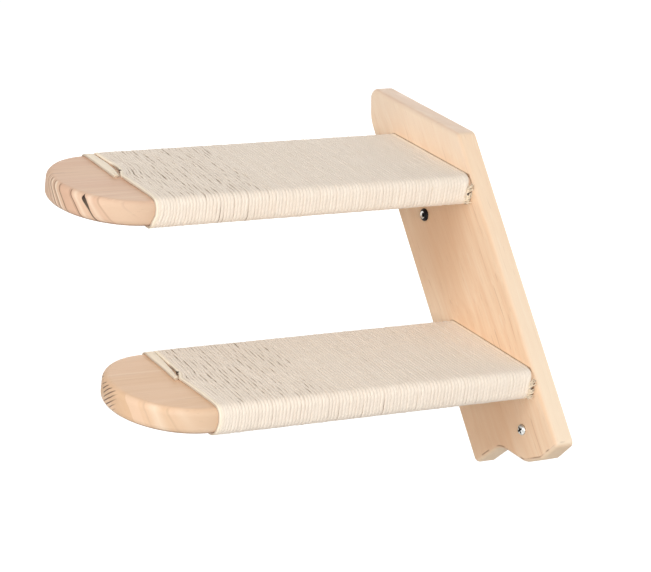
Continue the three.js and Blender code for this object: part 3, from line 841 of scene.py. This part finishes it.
def tread_board(step, material):
    """A round-nosed board: two straight sides and a half ellipse, moved in along the edges' profile."""
    x, z = step_middle[step]
    half, thin = tread_wide / 2, tread_thick / 2
    swing = np.linspace(np.pi, 2 * np.pi, 97)
    straight = np.linspace(-plate_thick, nose_start, 12)[:-1]
    ellipse = np.stack([half * np.cos(swing), nose_start + nose_long * np.sin(swing)], -1)
    bow = np.stack([nose_long * np.cos(swing), half * np.sin(swing)], -1)
    bow /= np.linalg.norm(bow, axis=1, keepdims=True)
    left = np.stack([np.full_like(straight, -half), straight], -1)
    way = np.concatenate([left, ellipse, left[::-1] * (-1, 1)])
    side = np.tile((1.0, 0.0), (len(left), 1))
    normal = np.concatenate([-side, bow, side])
    quarter = np.linspace(np.pi / 2, 0, 9)
    bend_in, bend_up = tread_edge - tread_edge * np.cos(quarter), flat_up + tread_edge * np.sin(quarter)
    inset = np.concatenate([[tread_edge + flat_ring], bend_in, bend_in[::-1], [tread_edge + flat_ring]])
    level = np.concatenate([[thin], bend_up, -bend_up[::-1], [-thin]])
    flat = way[None] - normal[None] * inset[:, None, None]
    points = xyz(x + flat[..., 0], flat[..., 1], z + level[:, None])
    rows, columns = points.shape[:2]
    number = np.arange(rows * columns).reshape(rows, columns)
    caps = [number[0][::-1], number[-1], np.concatenate([number[:, 0], number[::-1, -1]])]
    faces = [grid_faces(rows, columns, False)] + [[cap] for cap in caps]
    board = add_piece(f"{step}_board", points, faces, material)
    drill(board, step_holes(step))
    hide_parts(f"{step}_step_board")
    print(board.name, len(board.data.polygons), "faces,", round(volume_of(board.data), 1), "cm3")


tread_board("upper", upper_wood)
tread_board("lower", lower_wood)

# %% [markdown]
# ## The cord's way
# The real cord is a little over 3 mm wide and pressed flatter by its own pull. It goes round each tread more
# than ninety times. Its way is worked out from one number, the length wound so far. Where that length falls
# on the loop round the tread gives the place across and up, and the count of loops gives the place along.
# The loop follows the tread's surface: two long flats, two edges and four rounded corners. It starts at the
# middle of the top and goes to the back first, then under the tread and up the front edge.

# %% Loop round a tread
def loop_table():
    """Length, x, z and the outward angle at stations of one loop on the tread's surface."""
    corner = np.linspace(0, np.pi / 2, 7)
    angle = np.concatenate([[np.pi / 2]] + [np.pi / 2 * (1 + q) + corner for q in range(4)] + [[2.5 * np.pi]])
    side_x = np.concatenate([[0]] + [np.full(7, s) for s in (-1, -1, 1, 1)] + [[0]])
    side_z = np.concatenate([[1]] + [np.full(7, s) for s in (1, -1, -1, 1)] + [[1]])
    x = side_x * flat_across + tread_edge * np.cos(angle) * (side_x != 0)
    z = side_z * flat_up + tread_edge * np.sin(angle)
    length = np.concatenate([[0], np.cumsum(np.hypot(np.diff(x), np.diff(z)))])
    return length, x, z, angle


loop_length, loop_x, loop_z, loop_angle = loop_table()
LOOP = loop_length[-1]
print("one loop is", round(LOOP, 1), "mm")

# %% [markdown]
# Each turn is sampled closely on the corners and on the top, where its slant changes, and loosely
# elsewhere, which keeps the piece light. Hand-wound cord is never quite even. Slow waves shared by
# neighbours and a small wander of each turn add to the place along the tread.

# %% Stations and unevenness
stations = np.unique(np.concatenate([
    np.linspace(0, 60.5, 14), np.linspace(0, LOOP, 5), loop_length,
    np.linspace(loop_length[14], loop_length[15], 15), np.linspace(loop_length[28], LOOP, 14)]).round(3))
stations = stations[np.concatenate([[True], np.diff(stations) > 0.35])][:-1]
print(len(stations), "stations a turn")


def knots(rng, length, spacing, size):
    """A smooth random line: random heights at even knots, joined by eased steps."""
    heights = rng.normal(0, size, int(length.max() / spacing) + 3)
    place = length / spacing
    low = np.floor(place).astype(int)
    share = place - low
    share = share * share * (3 - 2 * share)
    return heights[low] * (1 - share) + heights[low + 1] * share


def uneven(rng, wound, turn):
    """Movement along the tread in mm: waves that neighbouring turns share, and each turn's own wander."""
    around = 2 * np.pi * wound / LOOP
    shared = sum(rng.normal(0, 0.22) * np.cos(m * around + k * turn + rng.uniform(0, 6.3))
                 for m in (1, 2, 3) for k in (0.05, 0.13, 0.29))
    inner = np.clip(turn / 6, 0, 1) * np.clip((turn.max() - turn) / 6, 0, 1)
    return shared * inner + knots(rng, wound, 37, 0.10)

# %% [markdown]
# Here and there two turns part and a short dark gap shows, most of all on top near the nose end, where the
# cord lies slanting. At each such place the turns before it lean one way and the turns after it the other,
# fading with distance. The same sum gives a painted shade to each side of the cord that faces such a gap.

# %% Gaps between turns
def partings(rng, wound, turns):
    """Movement along the tread, and how open the gap is on the cord's far side and on its near side.

    Each line of regions has the stretch of the loop, the turns, how many gaps, and the least and most of
    their reach and of their size. A gap fades as a bell curve along the loop and exponentially over turns.
    """
    moved, far, near = np.zeros((3, len(wound)))
    on_loop, turn = wound % LOOP, wound / LOOP
    slanting = 0.36 * turns
    regions = [((-60, 60), (2, slanting), 380, (2, 6), (0.12, 0.34)),
               ((-60, 60), (slanting, turns - 2), 60, (3, 9), (0.06, 0.22)),
               ((60, 217), (2, turns - 2), 60, (6, 24), (0.12, 0.36)),
               ((217, 230), (2, turns - 4), 20, (3, 7), (0.04, 0.12))]
    for stretch, some_turns, count, reaches, sizes in regions:
        gaps = [rng.uniform(*limits, count) for limits in (stretch, some_turns, reaches, sizes)]
        for place, at_turn, reach, size in zip(*gaps):
            close = size * np.exp(-(((on_loop - place + LOOP / 2) % LOOP - LOOP / 2) / reach) ** 2)
            off = turn - at_turn
            moved += close * np.sign(off) * np.exp(-np.abs(off) / 1.5)
            touching = close * np.clip(1.6 - np.abs(off), 0, 1) * 2.6
            far += touching * (off < 0)
            near += touching * (off > 0)
    return moved, np.clip(far, 0, 1), np.clip(near, 0, 1)


trial = partings(np.random.default_rng(0), stations + 20 * LOOP, 90)[0]
print("gaps move a trial turn, the 20th of 90, by up to", round(np.abs(trial).max(), 2), "mm")

# %% [markdown]
# The cord's first few centimetres are unlaid and fanned flat under a tack. The fan pushes the next turns
# towards the plate on the back half of the tread, while on the front edge they run out towards the nose. So
# the winding starts with a slant, which dies away turn by turn until the last turn lies along the plate.
# The slant at stations of the loop was measured on the picture for each tread, in mm along the tread: fans
# is the first turn's own, slants that of the turns after it, and fan_widths the fan's half widths. The last
# turn has nothing beyond it, so it crosses to the plate at the top of the front edge, goes once round
# against it, and ends frayed halfway up that edge.

# %% Slants
slant_at = [0, 10, 20, 35, 50, 64, 88, 205, 215, 222, 233, 243, 262, LOOP]
slants = {
    "upper": [0, 4.5, 7.5, 7.2, 6.9, 7.5, 8.0, -4.0, -4.8, -1.8, -2.2, -0.6, 0.2, 0],
    "lower": [-0.8, 3.5, 5.4, 6.8, 8.2, 9.0, 9.0, -3.0, -1.4, 0.2, -0.8, 0, 0.3, -0.8]}
fans = {
    "upper": [-5.5, -3.9, -2.2, -1.5, -1.0, -0.4, 1.5] + slants["upper"][7:],
    "lower": [-5.0, -3.2, -1.2, 0.4, 1.6, 2.4, 4.0] + slants["lower"][7:]}
fan_widths = {
    "upper": [3.0, 4.0, 4.9, 5.2, 5.0, 4.8, 1.7],
    "lower": [2.2, 2.7, 3.2, 4.0, 4.7, 4.4, 1.7]}
pitch, cord_end = 3.25, 225  # mm along the tread for each turn, and where on the loop the cord ends


def lying_along(step, wound, turns):
    """How far each place lies from its turn's own line: the slant, fading towards the last turn."""
    on_loop, turn = wound % LOOP, wound / LOOP
    fresh = np.exp(-np.clip(turn - 1, 0, None) / 7)
    straight = np.interp(on_loop, [0, 60, 88, 209, 232, LOOP], [0, 6.8, 7.2, -6.4, -6.4, 0])
    lying = fresh * np.interp(on_loop, slant_at, slants[step]) + (1 - fresh) * straight
    lying *= np.clip((turns + 0.4 - turn) / (turns - 1), 0, 1)
    return np.where(turn < 1, np.interp(wound, slant_at, fans[step]), lying)


print("slants at", len(slant_at), "stations of the loop")

# %% [markdown]
# The winding puts it together: where each place is on the tread's surface, how far along, how thick and how
# wide the cord is there, the painted shade on each side that faces a gap and along the edges of the first
# turns, and how open the yarn is, which is partly a painted highlight. Just before the plate the turns lie a
# little shorter on the hidden side, so that the last one fits against it.

# %% The winding
def cord_way(step, seed, first, last):
    """Arrays along the cord: its middle, its half sizes outward and lengthwise, the outward way and marks.

    first and last are where the winding starts and ends along the tread, in mm.
    """
    rng = np.random.default_rng(seed)
    turns = np.floor((last - first) / pitch)
    end = turns * LOOP + cord_end
    wound = (stations[None] + np.arange(int(turns) + 1)[:, None] * LOOP).ravel()
    wound = np.concatenate([[0.5], wound[(wound > 1.0) & (wound < end - 0.5)], [end]])
    on_loop, turn = wound % LOOP, wound / LOOP
    moved, far, near = partings(rng, wound, turns)
    settled = np.clip((turns - 0.3 - turn) / 3, 0, 1)
    crossing = [1, turns - 1, turns - 0.235, turns - 0.185]
    base = np.interp(turn, crossing, [first, last - pitch, last - pitch, last])
    short = np.interp(on_loop, [150, 210, 222, 232, LOOP - 55], [0, 1.8, 1.4, 0.6, 0])
    y = base + (lying_along(step, wound, turns) + uneven(rng, wound, turn) + moved) * settled
    y -= short * np.clip((turn - turns + 16) / 16, 0, 1)

    out = np.interp(wound, [8, 20, 64, 80], [1.1, 0.95, 0.95, 1.12]) * (1 + knots(rng, wound, 19, 0.04))
    width_at = slant_at[:7] + [232, 257, LOOP - 20, LOOP]
    wide = np.interp(wound, width_at, fan_widths[step] + [1.7, 2.1, 2.1, 1.68])
    wide = np.where(wound > end - 9, wide * np.interp(wound, [end - 9, end], [0.95, 0.6]), wide)
    wide *= 1 + knots(rng, wound, 23, 0.03)

    angle = np.interp(on_loop, loop_length, loop_angle)
    normal = np.stack([np.cos(angle), np.sin(angle)], -1)
    surface = np.stack([np.interp(on_loop, loop_length, loop_x), np.interp(on_loop, loop_length, loop_z)], -1)
    middle = surface + normal * (out + 0.04 + np.abs(knots(rng, wound, 31, 0.05)))[:, None]
    x0, z0 = step_middle[step]
    points = xyz(x0 + middle[:, 0], y, z0 + middle[:, 1])

    # The open yarn at both ends is paler: partly its own colour, partly a painted highlight.
    open_and_lit = np.maximum(np.interp(turn, [0, 1.2, 2.0], [1, 0.9, 0]),
                        np.interp(turn, [turns - 0.3, turns + 0.2], [0, 0.8]))
    # Thin dark lines along the band's edge and the next turn: painted contact shadow.
    near = np.maximum(near, (turn > 1) * np.interp(wound - LOOP, [0, 8, 26, 32], [0, 1, 1, 0]))
    far = np.maximum(far, (turn < 1) * np.interp(wound, [0, 3, 24, 32], [1, 1, 1, 0]))
    # The first turns' exposed edges get a painted shade as well.
    edge_shade = (turn < 1) + (turn >= 1) * (turn < 2) * (on_loop > cord_end)
    return points, out, wide, normal, (far, np.maximum(near, 0.75 * edge_shade), open_and_lit), rng


wound_from, wound_to = {"upper": -330.0, "lower": -328.3}, -19.8
print("turns:", {step: int((wound_to - start) / pitch) for step, start in wound_from.items()})

# %% [markdown]
# The material needs two things stored with a piece: its map, and its numbers for each point. The map's
# share of the way round jumps from 1 to 0 at the seam, so corners past the seam get 1 more.

# %% Maps and numbers
def write_number(piece, name, values):
    """Stores one number for each point of the piece, for its material to read."""
    stored = piece.data.attributes.new(name, "FLOAT", "POINT")
    stored.data.foreach_set("value", np.asarray(values, np.float32))


def write_way(piece, along, around):
    """Stores the map cord_way: each face corner's length along in metres and share round."""
    mesh = piece.data
    vertex = np.empty(len(mesh.loops), np.int32)
    mesh.loops.foreach_get("vertex_index", vertex)
    start, size = np.empty((2, len(mesh.polygons)), np.int32)
    mesh.polygons.foreach_get("loop_start", start)
    mesh.polygons.foreach_get("loop_total", size)
    share = around[vertex]
    highest = np.repeat(np.maximum.reduceat(share, start), size)
    share = np.where(share < highest - 0.5, share + 1, share)
    uv = mesh.uv_layers.new(name="cord_way")
    uv.data.foreach_set("uv", np.stack([along[vertex], share], -1).astype(np.float32).ravel())


print("a cord stores cord_way, deepness and openness")

# %% [markdown]
# The cord itself is a tube along that way. Its section is an ellipse at the nose. The turns were wound
# tighter and tighter, so towards the plate they press each other square.

# %% Cords
def cord_tube(step, seed, sides=12):
    """A tube round the cord's way. Its ring is an ellipse with cosine and sine raised to a power below 1."""
    points, out, wide, normal, (far, near, open_and_lit), rng = cord_way(step, seed, wound_from[step], wound_to)
    rows = len(points)
    pressed = np.interp(np.linspace(0, 1, rows), [0, 0.3, 0.7, 1], [0.6, 0.45, 0.30, 0.28])[:, None]

    def squared(part):
        shaped = np.sign(part) * np.abs(part).clip(1e-9) ** pressed
        return np.where(np.abs(shaped) < 1e-3, 0, shaped)

    angle = np.arange(sides) * 2 * np.pi / sides
    across, lift = squared(np.cos(angle)), squared(np.sin(angle))
    lumps = 1 + 0.025 * rng.normal(size=(rows, sides))
    outward = xyz(normal[:, 0], 0, normal[:, 1])
    tube = points[:, None] + (out[:, None] * lift * lumps)[..., None] * outward[:, None]
    tube[..., 1] += wide[:, None] * across * lumps
    faces = [block[:, ::-1] for block in tube_faces(rows, sides)]
    cord = add_piece(f"{step}_cord", tube, faces, cord_sisal, smooth_below=80)
    along = np.concatenate([[0], np.cumsum(np.linalg.norm(np.diff(points, axis=0), axis=1))])
    write_way(cord, np.repeat(along, sides) * MM, np.tile(np.arange(sides) / sides, rows))
    flank = (np.abs(across) > 0.5) * (lift < 0.75)
    write_number(cord, "deepness", (np.where(across > 0, far[:, None], near[:, None]) * flank).ravel())
    write_number(cord, "openness", np.repeat(open_and_lit, sides))
    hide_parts(f"{step}_cord_wrap")
    print(cord.name, "is", round(along[-1] / 1000, 2), "m long,", len(cord.data.polygons) * 2, "triangles")
    return points, out, wide, normal


ways = {"upper": cord_tube("upper", seed=11), "lower": cord_tube("lower", seed=23)}

# %% [markdown]
# ## Loose fibres
# Sisal is hairy: stiff ends of single fibres stand off the cord, and both cut ends are frayed. Each fibre
# is a bent, tapering tube with three sides. All fibres of a tread are one piece, made as one array.

# %% Fibre tubes
def fibre_tubes(start, direction, lift, length, radius, rng, steps=6):
    """Many bent tubes at once: from start along direction while rising along lift, with a random bend."""
    t = np.linspace(0, 1, steps)[None, :, None]
    length = length[:, None, None]
    side = np.cross(direction, lift)
    sideways = side[:, None] * rng.normal(0, 0.28, (len(start), 1, 1))
    curl = rng.normal(0, 0.30, (len(start), 1, 1))
    bent = direction[:, None] * t + sideways * t ** 2 + lift[:, None] * (0.55 * t - curl * t ** 2)
    middle = start[:, None] + length * bent
    cos, sin = np.array([f(np.arange(3) * 2 * np.pi / 3) for f in (np.cos, np.sin)])[:, None, None, :, None]
    ring = side[:, None, None] * cos + lift[:, None, None] * sin
    points = middle[:, :, None] + ring * radius[:, None, None, None] * (1 - 0.85 * t)[..., None]
    first = np.arange(len(start))[:, None] * steps * 3
    body = (grid_faces(steps, 3, True)[None] + first[:, None]).reshape(-1, 4)
    ends = np.concatenate([first + [2, 1, 0], first + (steps - 1) * 3 + [0, 1, 2]])
    along = np.broadcast_to(length * t, middle.shape[:2] + (1,))
    return points.reshape(-1, 3), [body, ends], np.repeat(along.reshape(-1), 3)


print("a fibre is a tube of 6 rings with 3 sides")

# %% [markdown]
# Most fibres start anywhere on the winding's outer side and lie along the cord, one way or the other. At
# the cord's two ends they fan out: the start is the unlaid yarn under its tack, and the end is a tuft.

# %% Fibres
def fibres(step, seed, loose=420, at_start=70, at_end=90):
    """Loose fibres at random places, and a fan of them at each of the cord's two ends."""
    points, out, wide, normal = ways[step]
    rng = np.random.default_rng(seed)
    total = loose + at_start + at_end
    kind = np.repeat([0, 1, 2], [loose, at_start, at_end])

    def by_kind(start_value, end_value, loose_value):
        return np.select([kind == 1, kind == 2], [start_value, end_value], loose_value)

    pick = np.concatenate([rng.integers(60, len(points) - 60, loose), rng.integers(0, 4, at_start),
                           len(points) - 1 - rng.integers(0, 6, at_end)])
    ahead = points[np.minimum(pick + 1, len(points) - 1)] - points[np.minimum(pick, len(points) - 2)]
    ahead /= np.linalg.norm(ahead, axis=1, keepdims=True)
    lift = xyz(normal[pick, 0], 0, normal[pick, 1])
    tilt = rng.uniform(-1.1, 1.1, total)
    start = points[pick] + lift * (out[pick] * np.cos(tilt))[:, None]
    start[:, 1] += wide[pick] * np.sin(tilt)
    way = ahead * by_kind(-1, 1, rng.choice([-1, 1], total))[:, None]
    start -= lift * (rng.uniform(0.1, 1.2, total) * (kind == 1))[:, None]
    start[:, 1] += rng.uniform(-1.5, 2.2, total) * (kind == 2)
    way[:, 1] += rng.normal(0, 1, total) * by_kind(0.35, 0.6, 0.40)
    way /= np.linalg.norm(way, axis=1, keepdims=True)
    length = rng.uniform(2.5, 8.0, total) * by_kind(0.6, 0.75, 1.0)
    start[:, 1] = np.minimum(start[:, 1], -plate_thick - 0.6)
    tubes, faces, run = fibre_tubes(start, way, lift, length, by_kind(0.13, 0.6, 0.085), rng)
    tubes[:, 1] = np.minimum(tubes[:, 1], -plate_thick - 0.1)
    piece = add_piece(f"{step}_cord_fibres", tubes, faces, brightened_fibre_sisal, smooth_below=180)
    write_way(piece, run * MM, np.tile(np.arange(3) / 3, len(tubes) // 3))
    write_number(piece, "deepness", np.zeros(len(tubes)))
    write_number(piece, "openness", np.repeat(kind > 0, len(tubes) // total))
    print(piece.name, total, "fibres")


fibres("upper", seed=5)
fibres("lower", seed=6)

# %% [markdown]
# ## Screw heads
# A screw head with a drive recess is one grid as well. Going round, the recess's edge is a curve whose
# distance from the axis is known for each angle: a hexagon or a cross. Going out, rings blend from that
# curve to the head's circle. So the recess's floor, walls, crown, rim and shank are all one surface.

# %% Screws
around = np.arange(96) * 2 * np.pi / 96


def hexagon(apothem):
    """A hexagon's distance from its middle at each angle, from the distance to its flats."""
    turned = (around + np.pi / 6) % (np.pi / 3) - np.pi / 6
    return apothem / np.cos(turned)


def cross(half_span, half_width, turned=np.pi / 4):
    """A cross's distance from its middle: the longer of its two bars at each angle."""
    c, s = np.abs(np.cos(around + turned)) + 1e-6, np.abs(np.sin(around + turned)) + 1e-6
    return np.maximum(np.minimum(half_span / c, half_width / s), np.minimum(half_span / s, half_width / c))


def screw(name, node, place, rings, material):
    """A screw from rings of (distances from its axis, y, tool wear and painted recess shade), closed by a
    flat face at each end.
    """
    radius = np.stack([np.broadcast_to(ring[0], around.shape) for ring in rings])
    y, wear_and_shade = np.array([ring[1:] for ring in rings], float).T
    points = xyz(place[0] + radius * np.cos(around), y[:, None], place[1] + radius * np.sin(around))
    piece = add_piece(name, points, tube_faces(*radius.shape), material, smooth_below=30)
    write_number(piece, "tool_wear_and_recess_shade", np.repeat(wear_and_shade, len(around)))
    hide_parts(node)


print("screws have", len(around), "points round")

# %% [markdown]
# The two wall screws have pan heads that stand 3 mm off the plate. The black one has a hollow hexagon, the
# zinc one a cross. Each ring of a head is (distance from the axis, y, a share that is tool wear on the black
# head and painted shade in the zinc one's recess).

# %% Wall screws
def domed(head, recess, depth, floor_share, floor_wear_and_shade, rim_wear_and_shade, rim):
    """Rings of a pan head: the recess's floor and walls, a sloping rim, a domed crown, edge and shank."""
    crown, seat = -plate_thick - 3.0, -plate_thick
    rings = [(recess * floor_share * 0.2, crown + depth + 0.25, floor_wear_and_shade),
             (recess * floor_share, crown + depth, floor_wear_and_shade),
             (recess * 0.96, crown + rim * 0.8, floor_wear_and_shade), (recess, crown + rim * 0.7, rim_wear_and_shade),
             (recess + rim * 0.9, crown + 0.06, rim_wear_and_shade), (recess + rim, crown, 0)]
    for share in np.linspace(0.06, 1, 12):
        radius = (recess + rim) * (1 - share) + head * share
        rise = 2.2 * (1 - np.sqrt(np.clip(1 - (radius.mean() / head) ** 2, 0, 1)))
        rings.append((radius, crown + rise * share ** 0.3, 0))
    rings += [(head, seat - 0.5, 0), (head - 0.15, seat - 0.1, 0), (head - 0.35, seat, 0)]
    return rings + [(2.5, seat, 0), (2.5, -0.6, 0), (2.2, -0.3, 0)]


screw("upper_screw_head", "upper_wall_screw", wall_screws["upper"],
      domed(5.7, hexagon(2.0), 2.2, 1.0, 0, 1, 1.3), black)
# On the zinc head the recess is darkened: painted shade.
screw("lower_screw_head", "lower_wall_screw", wall_screws["lower"],
      domed(4.9, cross(3.1, 0.85), 1.8, 0.55, 1, 0.6, 0.15), zinc)
print("wall screws at", *wall_screws.values())

# %% [markdown]
# The screws behind the plate are countersunk: a flat head with a cross, a cone, and a shank that ends in a
# point inside the tread. Their flat heads lie just below the plate's back face.

# %% Countersunk screws
slot = cross(2.3, 0.5)
# The cross recess of these zinc screws is darkened: painted shade.
sunk_rings = [(slot * 0.12, -2.35, 1), (slot * 0.55, -2.1, 1), (slot * 0.96, -0.42, 0.8), (slot, -0.3, 0.3)]
sunk_rings += [(slot * (1 - share) + 4.5 * share, -0.3, 0) for share in (0.12, 0.4, 0.7, 0.97)]
sunk_rings += [(4.5, -0.36, 0), (2.25, -2.55, 0), (2.25, -54, 0), (1.2, -57.2, 0), (0.15, -60, 0)]
for step, (x, z) in step_middle.items():
    for number, shift in enumerate(step_screw_shifts, start=1):
        screw(f"{step}_screw_{number}", f"{step}_step_screw_{number}", (x + shift, z), sunk_rings, zinc)
print("countersunk screws:", len(step_middle) * len(step_screw_shifts))

# %% [markdown]
# ## What stays from the solid model
# The dowels and tacks are right as they are, so they only get their materials.

# %% Materials of the kept nodes
for name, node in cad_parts.items():
    for word, material in (("dowel", dowel_wood), ("tack", iron)):
        if word in name:
            node.data.materials.clear()
            node.data.materials.append(material)
print("kept:", [n for n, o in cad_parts.items() if not o.hide_render])

# %% [markdown]
